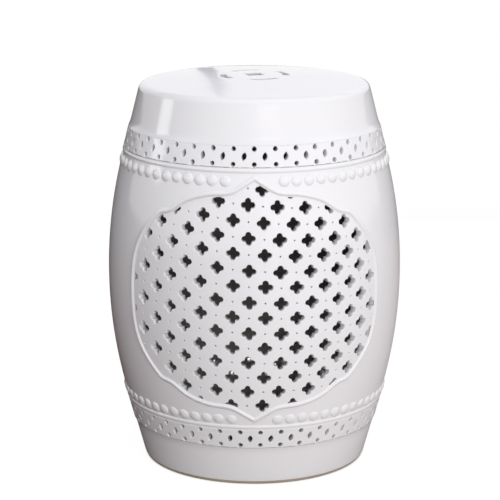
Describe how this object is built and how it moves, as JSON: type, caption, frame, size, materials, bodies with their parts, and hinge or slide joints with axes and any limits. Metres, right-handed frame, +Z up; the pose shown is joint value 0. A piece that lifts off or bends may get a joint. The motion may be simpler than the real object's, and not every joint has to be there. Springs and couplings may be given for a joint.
{
  "type": "garden stool",
  "caption": "Barrel-shaped hollow ceramic garden stool with a crowned seat, pierced bands, bead rows and a pierced lattice medallion on its front.",
  "frame": {"origin": "centre of the foot on the floor", "axes": "+Z up along the barrel's axis, -Y towards the medallion, +X to the viewer's right"},
  "size_m": [0.353, 0.353, 0.467],
  "materials": {
    "white_glaze": "glossy white glaze over stoneware",
    "bare_clay": "unglazed fired clay"
  },
  "bodies": {
    "root": {"seat_top": "white_glaze", "shoulder_wall": "white_glaze", "upper_pierced_band": "white_glaze", "upper_cord": "white_glaze", "upper_beads": "white_glaze", "belly_wall": "white_glaze", "lattice_panel": "white_glaze", "medallion_rim": "white_glaze", "lower_beads": "white_glaze", "lower_cord": "white_glaze", "lower_pierced_band": "white_glaze", "foot_wall": "white_glaze", "bare_foot_rim": "bare_clay"}
  },
  "joints": []
}
